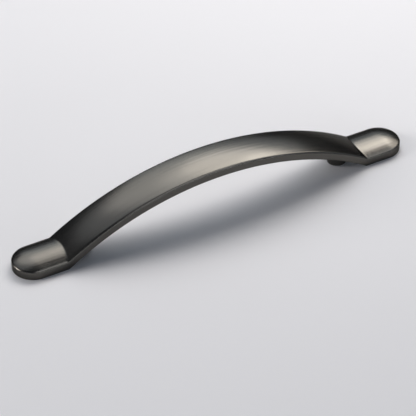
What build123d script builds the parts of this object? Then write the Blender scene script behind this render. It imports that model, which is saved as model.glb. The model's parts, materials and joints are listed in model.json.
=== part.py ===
from build123d import *
from math import asin, degrees, radians, sqrt, tan
import os

# Bow handle for a drawer or cabinet door, one zinc casting, in millimetres.
# The origin is the middle of the handle, on the drawer front that it is screwed to.
# X runs along the handle, Y across it, and Z away from the drawer front.

# Whole handle
overall_length = 192.0
handle_width = 19.2
overall_height = 26.7

# Feet
foot_length = 21.1
foot_rim_height = 4.0
foot_dome_rise = 2.1

# Bow between the feet
bow_thickness = 3.75
bow_crown_rise = 0.8

# Rounded edges of the casting
top_edge_round = 1.0
bottom_edge_round = 0.3

# Screw bosses under the ends of the bow, with holes for M4 screws
hole_spacing = 128.0
boss_diameter = 8.6
boss_set_back = 0.8
boss_root_round = 0.6
thread_diameter = 4.0
thread_depth = 6.0
drill_point_angle = 118.0
mouth_chamfer = 0.4

# The top edge of the bow is one arc, from the rim of one foot to the rim of the other.
half_length = overall_length / 2
half_width = handle_width / 2
crease_x = half_length - foot_length
bow_edge_height = overall_height - bow_crown_rise
arc_rise = bow_edge_height - foot_rim_height
top_radius = (crease_x**2 + arc_rise**2) / (2 * arc_rise)
arc_centre_z = bow_edge_height - top_radius

# The underside is an arc about the same centre, and meets the drawer front at the heels.
under_radius = top_radius - bow_thickness
middle_radius = top_radius - bow_thickness / 2
heel_x = sqrt(under_radius**2 - arc_centre_z**2)
end_slope = degrees(asin(heel_x / under_radius))
boss_x = hole_spacing / 2


def domed_section(bottom, rim, rise):
    """Section across the handle: straight sides, and a domed top with rounded edges."""
    outline = ThreePointArc((-half_width, rim), (0, rim + rise), (half_width, rim))
    outline += Polyline((half_width, rim), (half_width, bottom), (-half_width, bottom), (-half_width, rim))
    section = make_face(outline)
    return fillet(section.vertices().group_by(Axis.Y)[-1], top_edge_round)


def make_bow():
    """Crowned strip bent to an arc, from heel to heel."""
    section = Plane.YZ * domed_section(bow_edge_height - bow_thickness, bow_edge_height, bow_crown_rise)
    bend_axis = Axis((0, 0, arc_centre_z), (0, 1, 0))
    return revolve(section, bend_axis, end_slope) + revolve(section, bend_axis, -end_slope)


def make_foot():
    """Domed foot at the +X end, a straight stretch and a half-round tip."""
    dome_height = foot_rim_height + foot_dome_rise
    tip_x = half_length - half_width
    root_x = heel_x - dome_height
    section = domed_section(0, foot_rim_height, foot_dome_rise)
    straight = extrude(Plane.YZ.offset(root_x) * section, tip_x - root_x)
    near_half = section & Rectangle(handle_width, 2 * dome_height, align=(Align.MAX, Align.CENTER))
    tip = revolve(Plane.YZ.offset(tip_x) * near_half, Axis((tip_x, 0, 0), (0, 0, 1)), 180)
    # The root leans from the heel into the bow, half-way between upright and the bow's slope.
    root = Plane(origin=(heel_x, 0, 0), z_dir=(1, 0, 0)).rotated((0, end_slope / 2 - 45, 0))
    return split(straight + tip, bisect_by=root, keep=Keep.TOP)


def make_boss():
    """Round screw boss at +X, from its face up to the middle of the bow's thickness."""
    post = Pos(boss_x, 0, boss_set_back) * Cylinder(
        boss_diameter / 2, overall_height, align=(Align.CENTER, Align.CENTER, Align.MIN)
    )
    return post & Pos(0, 0, arc_centre_z) * Rot(90, 0, 0) * Cylinder(middle_radius, handle_width)


def make_screw_hole():
    """Blind hole at +X, drilled from the boss's face to the size of the screw's thread."""
    radius = thread_diameter / 2
    profile = Polyline(
        (0, -boss_set_back),
        (radius + mouth_chamfer + boss_set_back, -boss_set_back),
        (radius, mouth_chamfer),
        (radius, thread_depth),
        (0, thread_depth + radius / tan(radians(drill_point_angle / 2))),
        (0, -boss_set_back),
    )
    return Pos(boss_x, 0, boss_set_back) * revolve(Plane.XZ * make_face(profile), Axis.Z)


def both_ends(piece):
    """The same piece at +X and, mirrored, at -X."""
    return piece + mirror(piece, Plane.YZ)


handle = make_bow() + both_ends(make_foot())
undersides = handle.faces().filter_by(lambda face: face.normal_at().Z < -0.9)
handle = fillet(undersides.edges().filter_by(Axis.Y, reverse=True), bottom_edge_round)
bosses = both_ends(make_boss())
boss_roots = new_edges(handle, bosses, combined=handle + bosses)
casting = fillet(boss_roots, boss_root_round) - both_ends(make_screw_hole())

os.makedirs("parts", exist_ok=True)
export_step(casting, "parts/bow_handle.step")
print("bow handle, volume", round(casting.volume), "cubic mm")
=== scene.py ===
# %% [markdown]
# # A bow handle in satin gunmetal
#
# This lesson dresses one cabinet handle for a studio picture. The handle is a single zinc casting:
# an arched strip between two domed feet, with a tapped boss under each end of the arch. It is plated
# in dark gunmetal and brushed along its length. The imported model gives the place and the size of
# everything, so the first step is to load it and to note the box that the handle has to stay in.

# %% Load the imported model
import json
import math

import bmesh
import bpy
from mathutils import Matrix, Vector


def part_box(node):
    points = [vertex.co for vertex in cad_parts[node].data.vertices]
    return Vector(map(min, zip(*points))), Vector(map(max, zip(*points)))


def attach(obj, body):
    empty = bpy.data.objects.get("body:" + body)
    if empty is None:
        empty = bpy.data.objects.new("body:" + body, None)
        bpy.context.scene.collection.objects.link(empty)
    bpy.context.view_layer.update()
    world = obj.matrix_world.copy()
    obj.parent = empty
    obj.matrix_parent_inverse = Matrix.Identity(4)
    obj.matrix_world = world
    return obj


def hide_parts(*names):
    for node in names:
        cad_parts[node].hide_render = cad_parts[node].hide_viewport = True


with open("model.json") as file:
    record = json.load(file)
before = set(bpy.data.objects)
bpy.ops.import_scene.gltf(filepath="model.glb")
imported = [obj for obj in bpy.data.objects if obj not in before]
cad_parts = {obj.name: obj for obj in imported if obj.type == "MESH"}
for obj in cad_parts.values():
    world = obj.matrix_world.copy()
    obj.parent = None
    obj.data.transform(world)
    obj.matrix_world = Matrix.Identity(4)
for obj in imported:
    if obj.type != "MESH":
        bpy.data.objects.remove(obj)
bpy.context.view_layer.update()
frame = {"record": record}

# %% [markdown]
# ## The sizes
#
# The length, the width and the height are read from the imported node, and the screw spacing from the
# mounts. The other sizes are those of a cast handle of this kind, written in millimetres. All of them
# become metres here, once, because Blender works in metres. Polishing leaves the long edges a little
# rounded: 1 mm on top, which draws the thin lines of dark and light along the bow, and 0.3 mm
# underneath. The crease between bow and foot has a round of 0.4 mm, because no casting has a
# perfectly sharp corner.

# %% Sizes of the handle
MM = 0.001
low_corner, high_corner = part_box("bow_handle")
mounts = {mount["name"]: mount for mount in frame["record"]["mounts"]}

half_length = round(high_corner.x / MM, 1) * MM
half_width = round(high_corner.y / MM, 1) * MM
overall_height = round(high_corner.z / MM, 1) * MM
foot_length = 21.1 * MM
foot_rim_height = 4.0 * MM
foot_dome_rise = 2.1 * MM
bow_thickness = 3.75 * MM
bow_crown_rise = 0.8 * MM
top_edge_round = 1.0 * MM
bottom_edge_round = 0.3 * MM
crease_reach = 0.4 * MM

crease_x = half_length - foot_length
tip_x = half_length - half_width
bow_edge_height = overall_height - bow_crown_rise
arc_rise = bow_edge_height - foot_rim_height
top_radius = (crease_x**2 + arc_rise**2) / (2 * arc_rise)
under_radius = top_radius - bow_thickness
arc_centre_z = bow_edge_height - top_radius
print("arc of the bow", round(top_radius / MM, 1), "mm radius, feet", round(foot_length / MM, 1),
      "mm long")

# %% [markdown]
# ## The section of the handle
#
# Cut across anywhere, the casting shows nearly the same section: a flat underside, upright sides and a
# domed top, with softened edges. The bow has a low crown and a foot has a high dome. The section could
# be drawn as a curve and filled, but then bow and foot would have to be joined by a boolean, which
# leaves slivers along the crease where a shiny metal shows them at once. Instead every point of the
# section knows two heights, one on the bow and one on the foot. The crease is where the two agree, so
# it falls exactly on an edge of the mesh.

# %% Height of a domed top with a rounded edge
def top_height(across, rim, rise):
    """Height of the top at a distance across from the middle line."""
    dome_radius = (half_width**2 + rise**2) / (2 * rise)
    dome_centre = rim + rise - dome_radius
    round_across = half_width - top_edge_round
    touching = round_across * dome_radius / (dome_radius - top_edge_round)
    if across <= touching:
        return dome_centre + math.sqrt(dome_radius**2 - across**2)
    round_centre = dome_centre + math.sqrt((dome_radius - top_edge_round) ** 2 - round_across**2)
    return round_centre + math.sqrt(max(top_edge_round**2 - (across - round_across) ** 2, 0))


print("edge of the foot stands",
      round(top_height(half_width, foot_rim_height, foot_dome_rise) / MM, 2), "mm")

# %% One half of the section, from the middle of the underside to the middle of the top
FLAT_POINTS = (0, 0.25, 0.5, 0.75, 0.96, 1)  # shares of the way out along the underside
SIDE_POINTS = (0.04, 0.5, 0.96)  # shares of the way up the side
CROWN_POINTS = 14
ROUND_STEPS = 6


def half_section():
    """Rows of (across, height on the bow, height on the foot), in order round the section."""
    rows = []
    under_width = half_width - bottom_edge_round
    bow_bottom = bow_edge_height - bow_thickness
    for share in FLAT_POINTS:
        rows.append((share * under_width, bow_bottom, 0))
    for step in range(1, ROUND_STEPS + 1):
        turn = math.pi / 2 * step / ROUND_STEPS
        lift = bottom_edge_round * (1 - math.cos(turn))
        rows.append((under_width + bottom_edge_round * math.sin(turn), bow_bottom + lift, lift))
    bow_side = (top_height(half_width, bow_edge_height, bow_crown_rise)
                - bow_bottom - bottom_edge_round)
    foot_side = top_height(half_width, foot_rim_height, foot_dome_rise) - bottom_edge_round
    for share in SIDE_POINTS:
        rows.append((half_width, bow_bottom + bottom_edge_round + share * bow_side,
                     bottom_edge_round + share * foot_side))
    round_across = half_width - top_edge_round
    tops = [round_across + top_edge_round * math.cos(math.pi / 2 * step / ROUND_STEPS)
            for step in range(ROUND_STEPS + 1)]
    tops += [round_across * (1 - step / CROWN_POINTS) for step in range(1, CROWN_POINTS + 1)]
    for across in tops:
        rows.append((across, top_height(across, bow_edge_height, bow_crown_rise),
                     top_height(across, foot_rim_height, foot_dome_rise)))
    return rows


right_half = half_section()
left_half = [(-across, on_bow, on_foot) for across, on_bow, on_foot in right_half[1:-1]]
section_rows = right_half + left_half[::-1]
print("the section has", len(section_rows), "points")

# %% [markdown]
# ## The section as a mesh that carries its own rule
#
# A small closed ring of edges stands for the section in the middle of the bow. Its rule is stored on
# its points: the height that a point has on the foot, the angle round the centre of the bow's arc at
# which it comes down to that height, and the slightly smaller angle at which the round in the crease
# begins. Geometry Nodes can read them by name.

# %% The section ring
def make_section_ring(rows):
    """A ring of edges in the middle of the bow, with the sweep's numbers on its points."""
    mesh = bpy.data.meshes.new("section_ring")
    count = len(rows)
    across_values, bow_values, foot_values = zip(*rows)
    points = [(0, across, on_bow) for across, on_bow in zip(across_values, bow_values)]
    mesh.from_pydata(points, [(index, (index + 1) % count) for index in range(count)], [])
    crease_values = [math.acos((on_foot - arc_centre_z) / (on_bow - arc_centre_z))
                     for on_bow, on_foot in zip(bow_values, foot_values)]
    bend_values = [crease - crease_reach / (on_bow - arc_centre_z)
                   for crease, on_bow in zip(crease_values, bow_values)]
    stored = {"across": across_values, "on_bow": bow_values, "on_foot": foot_values,
              "crease_angle": crease_values, "bend_end": bend_values}
    for name, values in stored.items():
        mesh.attributes.new(name, "FLOAT", "POINT").data.foreach_set("value", values)
    ring = bpy.data.objects.new("handle_casting", mesh)
    bpy.context.scene.collection.objects.link(ring)
    return ring


casting = make_section_ring(section_rows)
print("ring made with", len(casting.data.attributes), "attributes")

# %% [markdown]
# ## One way to add a node
#
# Every tree in this lesson is built with the same small function. It makes a node, sets its properties
# and its unlinked sockets, and links the sockets that take something from another node. A socket goes
# by its name, or by its number where a node has several of one name: a Mix node takes two vectors at
# 4 and 5 and gives their mix at output 1, and takes two plain numbers at 2 and 3.

# %% The function that adds a node
def add_node(tree, kind, settings=None, links=None):
    """Adds a node, sets its properties, and fills or links its inputs by name or by number."""
    node = tree.nodes.new(kind)
    for name, value in (settings or {}).items():
        setattr(node, name, value)
    for socket, source in (links or {}).items():
        if isinstance(source, bpy.types.NodeSocket):
            tree.links.new(source, node.inputs[socket])
        else:
            node.inputs[socket].default_value = source
    return node


print("ready to build trees")

# %% [markdown]
# ## The sweep
#
# The section runs along the handle in four stretches: it turns about the centre of the bow's arc, takes
# the small round of the crease, runs straight along the foot, and then swings round the middle of the
# foot's tip, where both halves meet. A tree that follows a rail does this well. The rail is only a row
# of numbered stations. Each stretch has a share from 0 to 1 at a station, and each step below moves a
# point only as far as its share says. The round is a curve between two lines that meet: a point first
# slides along both lines, and then from the one to the other. The same tree makes both ends, because
# the far side of the rail is mirrored at the last step.

# %% Tree that sweeps the section along the handle
MERGE_DISTANCE = 1e-6  # metres; points closer than this become one


def make_sweep_tree():
    tree = bpy.data.node_groups.new("sweep_section_along_handle", "GeometryNodeTree")
    sockets = (("Section", "NodeSocketGeometry"), ("Bow Stations", "NodeSocketInt"),
               ("Crease Stations", "NodeSocketInt"), ("Foot Stations", "NodeSocketInt"),
               ("Tip Stations", "NodeSocketInt"), ("Arc Centre Height", "NodeSocketFloat"),
               ("Crease Reach", "NodeSocketFloat"), ("Tip Distance", "NodeSocketFloat"),
               ("Material", "NodeSocketMaterial"))
    for name, kind in sockets:
        tree.interface.new_socket(name, in_out="INPUT", socket_type=kind)
    tree.interface.new_socket("Casting", in_out="OUTPUT", socket_type="NodeSocketGeometry")
    given = add_node(tree, "NodeGroupInput").outputs
    stored = {name: add_node(tree, "GeometryNodeInputNamedAttribute", {"data_type": "FLOAT"},
                             {"Name": name}).outputs[0]
              for name in ("station", "across", "on_bow", "on_foot", "crease_angle", "bend_end")}

    # The rail has a station in the middle and the same number on both sides of it.
    crease_end = add_node(tree, "ShaderNodeMath", {"operation": "ADD"},
                          {0: given["Bow Stations"], 1: given["Crease Stations"]}).outputs[0]
    foot_end = add_node(tree, "ShaderNodeMath", {"operation": "ADD"},
                        {0: crease_end, 1: given["Foot Stations"]}).outputs[0]
    half_count = add_node(tree, "ShaderNodeMath", {"operation": "ADD"},
                          {0: foot_end, 1: given["Tip Stations"]}).outputs[0]
    count = add_node(tree, "ShaderNodeMath", {"operation": "MULTIPLY_ADD"},
                     {0: half_count, 1: 2.0, 2: 1.0}).outputs[0]
    line = add_node(tree, "GeometryNodeMeshLine", {},
                    {"Count": count, "Offset": (MM, 0, 0)}).outputs[0]
    index = add_node(tree, "GeometryNodeInputIndex").outputs[0]
    station = add_node(tree, "ShaderNodeMath", {"operation": "SUBTRACT"},
                       {0: index, 1: half_count}).outputs[0]
    numbered = add_node(tree, "GeometryNodeStoreNamedAttribute",
                        {"data_type": "FLOAT", "domain": "POINT"},
                        {"Geometry": line, "Name": "station", "Value": station}).outputs[0]
    rail = add_node(tree, "GeometryNodeMeshToCurve", {}, {"Mesh": numbered}).outputs[0]
    profile = add_node(tree, "GeometryNodeMeshToCurve", {}, {"Mesh": given["Section"]}).outputs[0]
    skin = add_node(tree, "GeometryNodeCurveToMesh", {},
                    {"Curve": rail, "Profile Curve": profile}).outputs[0]

    # How much of each stretch lies behind a station, from 0 to 1.
    steps = add_node(tree, "ShaderNodeMath", {"operation": "ABSOLUTE"},
                     {0: stored["station"]}).outputs[0]
    bow_share = add_node(tree, "ShaderNodeMapRange", {"clamp": True}, {
        "Value": steps, "From Min": 0.0, "From Max": given["Bow Stations"]}).outputs[0]
    crease_share = add_node(tree, "ShaderNodeMapRange", {"clamp": True}, {
        "Value": steps, "From Min": given["Bow Stations"], "From Max": crease_end}).outputs[0]
    foot_share = add_node(tree, "ShaderNodeMapRange", {"clamp": True}, {
        "Value": steps, "From Min": crease_end, "From Max": foot_end}).outputs[0]
    tip_share = add_node(tree, "ShaderNodeMapRange", {"clamp": True}, {
        "Value": steps, "From Min": foot_end, "From Max": half_count}).outputs[0]

    # Along the bow a point turns about the centre of the arc.
    start = add_node(tree, "ShaderNodeCombineXYZ", {},
                     {"Y": stored["across"], "Z": stored["on_bow"]}).outputs[0]
    arc_centre = add_node(tree, "ShaderNodeCombineXYZ", {},
                          {"Z": given["Arc Centre Height"]}).outputs[0]
    bend = add_node(tree, "ShaderNodeMath", {"operation": "MULTIPLY"},
                    {0: bow_share, 1: stored["bend_end"]}).outputs[0]
    on_bow = add_node(tree, "ShaderNodeVectorRotate", {"rotation_type": "Y_AXIS"},
                      {"Vector": start, "Center": arc_centre, "Angle": bend}).outputs[0]

    # In the crease it slides from the line before the corner to the line after it.
    corner = add_node(tree, "ShaderNodeVectorRotate", {"rotation_type": "Y_AXIS"}, {
        "Vector": start, "Center": arc_centre, "Angle": stored["crease_angle"]}).outputs[0]
    reach = add_node(tree, "ShaderNodeCombineXYZ", {}, {"X": given["Crease Reach"]}).outputs[0]
    past_corner = add_node(tree, "ShaderNodeVectorMath", {"operation": "ADD"},
                           {0: corner, 1: reach}).outputs[0]
    to_corner = add_node(tree, "ShaderNodeMix", {"data_type": "VECTOR"},
                         {0: crease_share, 4: on_bow, 5: corner}).outputs[1]
    from_corner = add_node(tree, "ShaderNodeMix", {"data_type": "VECTOR"},
                           {0: crease_share, 4: corner, 5: past_corner}).outputs[1]
    in_crease = add_node(tree, "ShaderNodeMix", {"data_type": "VECTOR"},
                         {0: crease_share, 4: to_corner, 5: from_corner}).outputs[1]

    # Along the foot it runs straight to where the tip begins.
    tip_start = add_node(tree, "ShaderNodeCombineXYZ", {}, {
        "X": given["Tip Distance"], "Y": stored["across"], "Z": stored["on_foot"]}).outputs[0]
    on_foot = add_node(tree, "ShaderNodeMix", {"data_type": "VECTOR"},
                       {0: foot_share, 4: in_crease, 5: tip_start}).outputs[1]

    # At the tip each half of the section swings a quarter turn towards the other.
    side = add_node(tree, "ShaderNodeMath", {"operation": "SIGN"}, {0: stored["across"]}).outputs[0]
    quarter_turn = add_node(tree, "ShaderNodeMath", {"operation": "MULTIPLY"},
                            {0: tip_share, 1: -math.pi / 2}).outputs[0]
    swing = add_node(tree, "ShaderNodeMath", {"operation": "MULTIPLY"},
                     {0: quarter_turn, 1: side}).outputs[0]
    tip_centre = add_node(tree, "ShaderNodeCombineXYZ", {}, {"X": given["Tip Distance"]}).outputs[0]
    on_tip = add_node(tree, "ShaderNodeVectorRotate", {"rotation_type": "Z_AXIS"},
                      {"Vector": on_foot, "Center": tip_centre, "Angle": swing}).outputs[0]

    # The stations before the middle make the mirror image.
    end = add_node(tree, "ShaderNodeMath", {"operation": "SIGN"}, {0: stored["station"]}).outputs[0]
    mirror_ends = add_node(tree, "ShaderNodeCombineXYZ", {},
                           {"X": end, "Y": 1.0, "Z": 1.0}).outputs[0]
    place = add_node(tree, "ShaderNodeVectorMath", {"operation": "MULTIPLY"},
                     {0: on_tip, 1: mirror_ends}).outputs[0]
    moved = add_node(tree, "GeometryNodeSetPosition", {},
                     {"Geometry": skin, "Position": place}).outputs[0]
    closed = add_node(tree, "GeometryNodeMergeByDistance", {},
                      {"Geometry": moved, "Distance": MERGE_DISTANCE}).outputs[0]
    real = add_node(tree, "GeometryNodeRealizeInstances", {}, {"Geometry": closed}).outputs[0]
    painted = add_node(tree, "GeometryNodeSetMaterial", {},
                       {"Geometry": real, "Material": given["Material"]}).outputs[0]
    add_node(tree, "NodeGroupOutput", {}, {"Casting": painted})
    return tree


sweep_tree = make_sweep_tree()
print("sweep tree has", len(sweep_tree.nodes), "nodes")

# %% [markdown]
# ## Colours and the finish
#
# Gunmetal plate, often sold as black nickel, is a thin dark nickel alloy over the zinc. It is a metal,
# so all of its colour is in the reflection: a warm grey that gives back about a tenth of the light. The
# casting is brushed along its length with a fine belt before plating and is not lacquered glossy, so
# the reflection is soft and faint hairlines run along the bow. The lines follow the arc. For that the
# material works out how far a point is from the centre of the arc, and draws noise that is stretched
# along the handle and fine in the two other directions.

# %% Colours are written as sRGB hex and turned to linear once
def linear(hex_colour):
    channels = [int(hex_colour[start:start + 2], 16) / 255 for start in (1, 3, 5)]
    values = [c / 12.92 if c <= 0.04045 else ((c + 0.055) / 1.055) ** 2.4 for c in channels]
    return (*values, 1.0)


GUNMETAL = linear("#5d5b57")
print("gunmetal reflects", [round(c, 3) for c in GUNMETAL[:3]])

# %% The brushed gunmetal plate
# A real belt leaves lines 0.1 to 0.2 mm apart. They are too fine to show, so these are coarser.
HAIRLINE_SPACING = 0.9 * MM
HAIRLINE_LENGTH = 45 * MM
GROOVE_DEPTH = 0.05 * MM
GLOSSY_LINE, DULL_LINE = 0.19, 0.25  # roughness of the hairlines
# The plate has faint patches that came out a little glossier or duller.
CLOUD_SIZE = 12 * MM
CLOUD_ROUGHNESS = 0.012
NOISE_LOW, NOISE_HIGH = 0.3, 0.7  # nearly all of a noise lies between these
# Thin dark plate mirrors little more at a low angle than from above.
GRAZING_TINT = linear("#a4a4a4")


def make_gunmetal():
    material = bpy.data.materials.new("brushed_gunmetal_plated_zinc")
    material.use_nodes = True
    tree = material.node_tree
    tree.nodes.clear()
    place = add_node(tree, "ShaderNodeTexCoord").outputs["Object"]
    parts = add_node(tree, "ShaderNodeSeparateXYZ", {}, {0: place}).outputs

    # Lines follow the arc on the bow and lie level on the feet.
    from_centre = add_node(tree, "ShaderNodeMath", {"operation": "SUBTRACT"},
                           {0: parts["Z"], 1: arc_centre_z}).outputs[0]
    flat_place = add_node(tree, "ShaderNodeCombineXYZ", {},
                          {"X": parts["X"], "Z": from_centre}).outputs[0]
    radius = add_node(tree, "ShaderNodeVectorMath", {"operation": "LENGTH"},
                      {0: flat_place}).outputs["Value"]
    bow_depth = add_node(tree, "ShaderNodeMath", {"operation": "SUBTRACT"},
                         {0: radius, 1: under_radius}).outputs[0]
    along = add_node(tree, "ShaderNodeMath", {"operation": "ABSOLUTE"}, {0: parts["X"]}).outputs[0]
    on_foot = add_node(tree, "ShaderNodeMath", {"operation": "GREATER_THAN"},
                       {0: along, 1: crease_x}).outputs[0]
    depth = add_node(tree, "ShaderNodeMix", {"data_type": "FLOAT"},
                     {0: on_foot, 2: bow_depth, 3: parts["Z"]}).outputs[0]
    grain_place = add_node(tree, "ShaderNodeCombineXYZ", {},
                           {"X": parts["X"], "Y": parts["Y"], "Z": depth}).outputs[0]
    stretched = add_node(tree, "ShaderNodeMapping", {}, {
        "Vector": grain_place,
        "Scale": (1 / HAIRLINE_LENGTH, 1 / HAIRLINE_SPACING, 1 / HAIRLINE_SPACING)}).outputs[0]
    hairlines = add_node(tree, "ShaderNodeTexNoise", {}, {
        "Vector": stretched, "Scale": 1.0, "Detail": 3.0, "Roughness": 0.6}).outputs["Fac"]
    clouds = add_node(tree, "ShaderNodeTexNoise", {}, {
        "Vector": place, "Scale": 1 / CLOUD_SIZE, "Detail": 2.0, "Roughness": 0.5}).outputs["Fac"]
    rough_lines = add_node(tree, "ShaderNodeMapRange", {}, {
        "Value": hairlines, "From Min": NOISE_LOW, "From Max": NOISE_HIGH,
        "To Min": GLOSSY_LINE, "To Max": DULL_LINE}).outputs[0]
    rough_clouds = add_node(tree, "ShaderNodeMapRange", {}, {
        "Value": clouds, "From Min": NOISE_LOW, "From Max": NOISE_HIGH,
        "To Min": -CLOUD_ROUGHNESS, "To Max": CLOUD_ROUGHNESS}).outputs[0]
    roughness = add_node(tree, "ShaderNodeMath", {"operation": "ADD"},
                         {0: rough_lines, 1: rough_clouds}).outputs[0]
    grooves = add_node(tree, "ShaderNodeBump", {}, {
        "Height": hairlines, "Strength": 1.0, "Distance": GROOVE_DEPTH}).outputs[0]
    surface = add_node(tree, "ShaderNodeBsdfPrincipled", {}, {
        "Base Color": GUNMETAL, "Metallic": 1.0, "Roughness": roughness, "Normal": grooves,
        "Specular Tint": GRAZING_TINT})
    add_node(tree, "ShaderNodeOutputMaterial", {}, {"Surface": surface.outputs[0]})
    return material


gunmetal = make_gunmetal()
print("made", gunmetal.name)

# %% [markdown]
# ## The skin of the casting
#
# The modifier's sizes are set by the identifiers of its sockets, before it is first evaluated. The
# result becomes a plain mesh, and the modifier goes.

# %% Set a modifier's inputs, and turn its result into a plain mesh
SLIVER_LENGTH = 1e-7  # metres; edges shorter than this are taken out


def settle(piece):
    """Makes the result of a piece's modifiers its plain mesh."""
    bpy.context.view_layer.update()
    evaluated = piece.evaluated_get(bpy.context.evaluated_depsgraph_get())
    result = bpy.data.meshes.new_from_object(evaluated)
    piece.modifiers.clear()
    piece.data = result


def run_tree(piece, tree, inputs):
    modifier = piece.modifiers.new("maker", "NODES")
    modifier.node_group = tree
    for item in tree.interface.items_tree:
        if item.name in inputs:
            modifier[item.identifier] = inputs[item.name]
    settle(piece)


def tidy_shell(piece):
    """Merges doubles, points all faces outwards and counts the edges that are left open."""
    shell = bmesh.new()
    shell.from_mesh(piece.data)
    bmesh.ops.remove_doubles(shell, verts=shell.verts, dist=MERGE_DISTANCE)
    bmesh.ops.dissolve_degenerate(shell, edges=shell.edges, dist=SLIVER_LENGTH)
    bmesh.ops.recalc_face_normals(shell, faces=shell.faces)
    open_edges = sum(not edge.is_manifold for edge in shell.edges)
    shell.to_mesh(piece.data)
    shell.free()
    return open_edges


run_tree(casting, sweep_tree, {
    "Bow Stations": 96, "Crease Stations": 5, "Foot Stations": 12, "Tip Stations": 18,
    "Arc Centre Height": arc_centre_z, "Crease Reach": crease_reach, "Tip Distance": tip_x,
    "Material": gunmetal})
open_edges = tidy_shell(casting)
print("casting has", len(casting.data.polygons), "faces and", open_edges, "open edges")

# %% [markdown]
# ## The screw bosses
#
# Under each end of the bow stands a round boss that takes the screw. It is cast with the bow, so its
# wall runs into the underside in a small round. A boss could be a cylinder with a bevel, but the
# underside slopes, and a bevel of one width would not follow it. Here a profile is turned round the
# boss's axis, and the points near the root are measured from the sloping underside instead of from the
# drawer front. A union then makes boss and bow one shell, and a drill is taken away from it.

# %% Sizes of the bosses and their holes
boss_x = mounts["screw_hole_right"]["pos_m"][0]
thread_radius = mounts["screw_hole_right"]["dims"]["r_mm"] * MM
boss_radius = 4.3 * MM
boss_set_back = 0.8 * MM
boss_root_round = 0.6 * MM
thread_depth = 6.0 * MM
mouth_chamfer = 0.4 * MM
drill_point_angle = math.radians(118)
print("holes", 2 * boss_x / MM, "mm apart")

# %% Turn a profile round an upright axis
TURN_STEPS = 64


def underside_height(x):
    return math.sqrt(under_radius**2 - x**2) + arc_centre_z


def turned_shell(name, axis_x, profile):
    """Closed shell from rows of (radius, height, True where that is a depth under the bow)."""
    shell = bmesh.new()
    rings = []
    for radius, height, from_underside in profile:
        ring = []
        for step in range(TURN_STEPS):
            turn = 2 * math.pi * step / TURN_STEPS
            x = axis_x + radius * math.cos(turn)
            z = underside_height(x) - height if from_underside else height
            ring.append(shell.verts.new((x, radius * math.sin(turn), z)))
        rings.append(ring)
    for lower, upper in zip(rings, rings[1:]):
        for step in range(TURN_STEPS):
            following = (step + 1) % TURN_STEPS
            shell.faces.new((lower[step], lower[following], upper[following], upper[step]))
    shell.faces.new(rings[0])
    shell.faces.new(rings[-1])
    bmesh.ops.recalc_face_normals(shell, faces=shell.faces)
    mesh = bpy.data.meshes.new(name)
    shell.to_mesh(mesh)
    shell.free()
    piece = bpy.data.objects.new(name, mesh)
    bpy.context.scene.collection.objects.link(piece)
    return piece


print("profiles are turned in", TURN_STEPS, "steps")

# %% Profiles of a boss and of the drill that makes its hole
def boss_profile():
    rows = [(boss_radius, boss_set_back, False), (boss_radius, boss_root_round, True)]
    for step in range(1, ROUND_STEPS + 1):
        turn = math.pi / 2 * step / ROUND_STEPS
        rows.append((boss_radius + boss_root_round * (1 - math.cos(turn)),
                     boss_root_round * (1 - math.sin(turn)), True))
    # The top lies a quarter of the bow's thickness inside the bow, so no faces touch in the union.
    rows.append((boss_radius + boss_root_round, -bow_thickness / 4, True))
    return rows


def drill_profile():
    point_rise = thread_radius / math.tan(drill_point_angle / 2)
    below = 1 * MM  # the drill starts outside the boss
    blunt = 0.02 * MM  # its point has a small flat, so that the last ring has a size
    return [(thread_radius + mouth_chamfer + below, boss_set_back - below, False),
            (thread_radius, boss_set_back + mouth_chamfer, False),
            (thread_radius, boss_set_back + thread_depth, False),
            (blunt, boss_set_back + thread_depth + point_rise, False)]


def combine(piece, other, operation):
    """One exact boolean, with its result turned into a plain mesh."""
    modifier = piece.modifiers.new(operation, "BOOLEAN")
    modifier.operation = operation
    modifier.solver = "EXACT"
    modifier.object = other
    settle(piece)
    bpy.data.objects.remove(other)


for end in (1, -1):
    combine(casting, turned_shell("boss", end * boss_x, boss_profile()), "UNION")
    combine(casting, turned_shell("drill", end * boss_x, drill_profile()), "DIFFERENCE")
open_edges = tidy_shell(casting)
print("casting has", len(casting.data.polygons), "faces and", open_edges, "open edges")

# %% Smooth surfaces with crisp edges
# From face to face every round bends less than this, and the edges of boss and hole bend more.
SHARP_ANGLE = math.radians(24)
casting.data.polygons.foreach_set("use_smooth", [True] * len(casting.data.polygons))
casting.data.set_sharp_from_angle(angle=SHARP_ANGLE)
casting.data.materials.clear()
casting.data.materials.append(gunmetal)
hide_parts("bow_handle")
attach(casting, "root")
print("casting stands for the packed handle")

# %% [markdown]
# ## The thread in the holes
#
# Each hole is tapped for a metric M4 screw. The wall of the hole lies at the outside of the thread, and
# the thread itself is a ridge that winds up the wall, 0.7 mm from turn to turn. A ridge that follows a
# helix is a sweep again, so Geometry Nodes make it: a spiral curve, a small three-sided profile, and
# one copy at each hole.

# %% Tree that winds a thread at each hole
THREAD_PITCH = 0.7 * MM
THREAD_RIDGE = 0.36 * MM  # from the middle of the three-sided profile to its corners
STEPS_PER_TURN = 40


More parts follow.
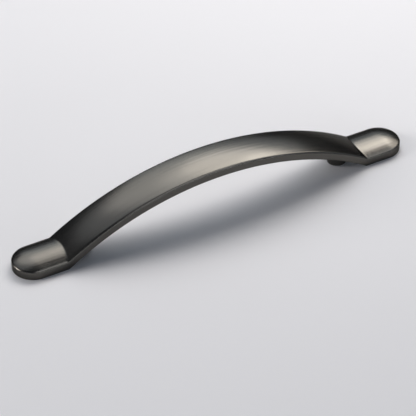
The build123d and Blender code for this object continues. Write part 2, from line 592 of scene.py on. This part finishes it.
def make_thread_tree():
    tree = bpy.data.node_groups.new("wind_thread_in_holes", "GeometryNodeTree")
    sockets = (("Turns", "NodeSocketFloat"), ("Pitch", "NodeSocketFloat"),
               ("Wall Radius", "NodeSocketFloat"), ("Ridge", "NodeSocketFloat"),
               ("Hole Distance", "NodeSocketFloat"), ("First Turn Height", "NodeSocketFloat"),
               ("Material", "NodeSocketMaterial"))
    for name, kind in sockets:
        tree.interface.new_socket(name, in_out="INPUT", socket_type=kind)
    tree.interface.new_socket("Threads", in_out="OUTPUT", socket_type="NodeSocketGeometry")
    given = add_node(tree, "NodeGroupInput").outputs

    # The ridge of one hole.
    rise = add_node(tree, "ShaderNodeMath", {"operation": "MULTIPLY"},
                    {0: given["Turns"], 1: given["Pitch"]}).outputs[0]
    helix = add_node(tree, "GeometryNodeCurveSpiral", {}, {
        "Resolution": STEPS_PER_TURN, "Rotations": given["Turns"],
        "Start Radius": given["Wall Radius"], "End Radius": given["Wall Radius"],
        "Height": rise}).outputs[0]
    upright = add_node(tree, "GeometryNodeSetCurveNormal", {"mode": "Z_UP"},
                       {"Curve": helix}).outputs[0]
    ridge = add_node(tree, "GeometryNodeCurvePrimitiveCircle", {"mode": "RADIUS"},
                     {"Resolution": 3, "Radius": given["Ridge"]}).outputs[0]
    wound = add_node(tree, "GeometryNodeCurveToMesh", {},
                     {"Curve": upright, "Profile Curve": ridge, "Fill Caps": True}).outputs[0]

    # A line with a point at each hole; in this mode its offset is its end.
    first = add_node(tree, "ShaderNodeCombineXYZ", {},
                     {"X": given["Hole Distance"], "Z": given["First Turn Height"]}).outputs[0]
    other_side = add_node(tree, "ShaderNodeMath", {"operation": "MULTIPLY"},
                          {0: given["Hole Distance"], 1: -1.0}).outputs[0]
    second = add_node(tree, "ShaderNodeCombineXYZ", {},
                      {"X": other_side, "Z": given["First Turn Height"]}).outputs[0]
    hole_points = add_node(tree, "GeometryNodeMeshLine", {"mode": "END_POINTS"},
                           {"Count": 2, "Start Location": first, "Offset": second}).outputs[0]
    copies = add_node(tree, "GeometryNodeInstanceOnPoints", {},
                      {"Points": hole_points, "Instance": wound}).outputs[0]
    real = add_node(tree, "GeometryNodeRealizeInstances", {}, {"Geometry": copies}).outputs[0]
    painted = add_node(tree, "GeometryNodeSetMaterial", {},
                       {"Geometry": real, "Material": given["Material"]}).outputs[0]
    add_node(tree, "NodeGroupOutput", {}, {"Threads": painted})
    return tree


thread_turns = (thread_depth - 2 * mouth_chamfer) / THREAD_PITCH
threads = bpy.data.objects.new("screw_threads", bpy.data.meshes.new("screw_threads"))
bpy.context.scene.collection.objects.link(threads)
run_tree(threads, make_thread_tree(), {
    "Turns": thread_turns, "Pitch": THREAD_PITCH, "Wall Radius": thread_radius,
    "Ridge": THREAD_RIDGE, "Hole Distance": boss_x,
    "First Turn Height": boss_set_back + mouth_chamfer, "Material": gunmetal})
open_edges = tidy_shell(threads)
print("threads have", len(threads.data.polygons), "faces and", open_edges, "open edges")
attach(threads, "root")

# %% [markdown]
# ## The floor
#
# The picture shows the handle on one pale, matt surface with no horizon, such as a sheet of studio
# paper. A wide flat sheet with a matt material is enough.

# %% A wide sheet of pale paper
FLOOR_REACH = 1.5
PAPER = linear("#ecedf1")


def make_paper():
    material = bpy.data.materials.new("pale_studio_paper")
    material.use_nodes = True
    tree = material.node_tree
    tree.nodes.clear()
    surface = add_node(tree, "ShaderNodeBsdfDiffuse", {}, {"Color": PAPER})
    add_node(tree, "ShaderNodeOutputMaterial", {}, {"Surface": surface.outputs[0]})
    return material


floor_mesh = bpy.data.meshes.new("floor")
corners = [(x, y, 0) for x, y in ((-1, -1), (1, -1), (1, 1), (-1, 1))]
floor_mesh.from_pydata([tuple(FLOOR_REACH * c for c in corner) for corner in corners], [],
                       [(0, 1, 2, 3)])
floor_mesh.materials.append(make_paper())
floor = bpy.data.objects.new("floor", floor_mesh)
bpy.context.scene.collection.objects.link(floor)
print("floor reaches", FLOOR_REACH, "m each way")

# %% [markdown]
# ## The light
#
# A brushed metal is seen by what it mirrors, so the lamps do more for this picture than the colour of
# the plate. Their places and strengths were worked out from the highlights and the shadow in the
# picture. Behind the handle and to its right stands a bank of large oval softboxes that grows brighter
# to the right: it lights the paper, draws the long highlight on the bow and throws the shadow towards
# the camera. The brighter ones of the bank stand close, little more than half a metre away, so the
# right foot gets more of their light than the left one. A strong, low softbox far out on the left
# lights the rim of the left foot. Low strips in front keep the side of the casting from going black.
# High in front hangs a softbox for the metal alone: the rounded edge and the back of the handle mirror
# it, but it doesn't light the paper, where it would wash out the shadow. One big lamp would be
# simpler, but it would leave the crowned metal with a single hard glare. A table is enough to set the
# lamps, with the size of each one as an angle, because that is how large a softbox looks in the metal.
# The air round them is a dim bluish grey.

# %% Oval softboxes round the handle
SOFTBOXES = (
    # name, azimuth from +Y towards +X and elevation in degrees, distance in metres, width and height
    # in degrees, brightness, colour, and True where it lights the paper too
    ("key_softbox", 45, 47, 0.55, 40, 29, 2.3, "#fff9f4", True),
    ("high_key_softbox", 36, 52, 0.8, 40, 28, 1.05, "#fffbf6", True),
    ("right_softbox", 68, 41, 0.8, 34, 27, 3.1, "#fff8f1", True),
    ("back_softbox", 21, 49, 1.6, 54, 39, 1.35, "#fffefb", True),
    ("low_back_softbox", 28, 29, 1.6, 50, 24, 0.85, "#e4f2ff", True),
    ("far_softbox", 350, 53, 2.2, 40, 41, 0.62, "#f1f7ff", True),
    ("left_softbox", 291, 22, 1.6, 30, 24, 8.9, "#fff9f4", True),
    ("low_left_strip", 236, 20, 1.2, 60, 12, 1.2, "#f3f8ff", True),
    ("front_strip", 168, 11, 1.2, 60, 9, 2.6, "#f3f9ff", True),
    ("front_overhead_softbox", 142, 58, 1.2, 70, 46, 1.4, "#fbfcff", False),
    ("low_right_fill", 110, 20, 1.2, 40, 24, 0.4, "#eaf4ff", True),
)
AIR = linear("#454950")


def add_softbox(name, azimuth, elevation, distance, wide, high, brightness, colour, lights_paper):
    """An oval lamp that faces the handle; its brightness is what a mirror would show of it."""
    a, e = math.radians(azimuth), math.radians(elevation)
    outward = Vector((math.sin(a) * math.cos(e), math.cos(a) * math.cos(e), math.sin(e)))
    lamp = bpy.data.lights.new(name, "AREA")
    lamp.shape = "ELLIPSE"
    lamp.size = 2 * distance * math.tan(math.radians(wide / 2))
    lamp.size_y = 2 * distance * math.tan(math.radians(high / 2))
    lamp.color = linear(colour)[:3]
    lamp.energy = brightness * math.pi * (math.pi / 4 * lamp.size * lamp.size_y)
    holder = bpy.data.objects.new(name, lamp)
    holder.location = outward * distance
    holder.rotation_euler = (-outward).to_track_quat("-Z", "Y").to_euler()
    holder.visible_camera = False
    holder.visible_diffuse = lights_paper
    bpy.context.scene.collection.objects.link(holder)


for softbox in SOFTBOXES:
    add_softbox(*softbox)

world = bpy.data.worlds.new("studio_air")
bpy.context.scene.world = world
world.use_nodes = True
world.node_tree.nodes.clear()
air = add_node(world.node_tree, "ShaderNodeBackground", {}, {"Color": AIR, "Strength": 1.0})
add_node(world.node_tree, "ShaderNodeOutputWorld", {}, {"Surface": air.outputs[0]})
print("placed", len(SOFTBOXES), "softboxes")

# %% [markdown]
# ## The camera
#
# The view was worked out from the outline of the handle in the picture: from the left, well above, with
# a long lens.

# %% The camera
CAMERA_AZIMUTH = math.radians(-28.11)
CAMERA_ELEVATION = math.radians(38.717)
CAMERA_ROLL = math.radians(-0.598)
CAMERA_DISTANCE = 0.9814
AIM_RIGHT = -1.694 * MM
AIM_UP = -1.590 * MM
LENS = 192.5  # millimetres
SENSOR_WIDTH = 36  # millimetres
NEAREST = 0.01  # nothing closer than this is drawn

backward = Vector((math.sin(CAMERA_AZIMUTH) * math.cos(CAMERA_ELEVATION),
                   -math.cos(CAMERA_AZIMUTH) * math.cos(CAMERA_ELEVATION),
                   math.sin(CAMERA_ELEVATION)))
level_right = Vector((0, 0, 1)).cross(backward).normalized()
level_up = backward.cross(level_right)
right = math.cos(CAMERA_ROLL) * level_right + math.sin(CAMERA_ROLL) * level_up
up = backward.cross(right)
camera = bpy.data.cameras.new("camera")
camera.lens = LENS
camera.sensor_width = SENSOR_WIDTH
camera.clip_start = NEAREST
camera_holder = bpy.data.objects.new("camera", camera)
camera_holder.matrix_world = Matrix((right, up, backward)).transposed().to_4x4()
camera_holder.location = backward * CAMERA_DISTANCE + right * AIM_RIGHT + up * AIM_UP
bpy.context.scene.collection.objects.link(camera_holder)
bpy.context.scene.camera = camera_holder
bpy.context.scene.view_settings.view_transform = "Standard"
print("camera at", [round(c, 3) for c in camera_holder.location])
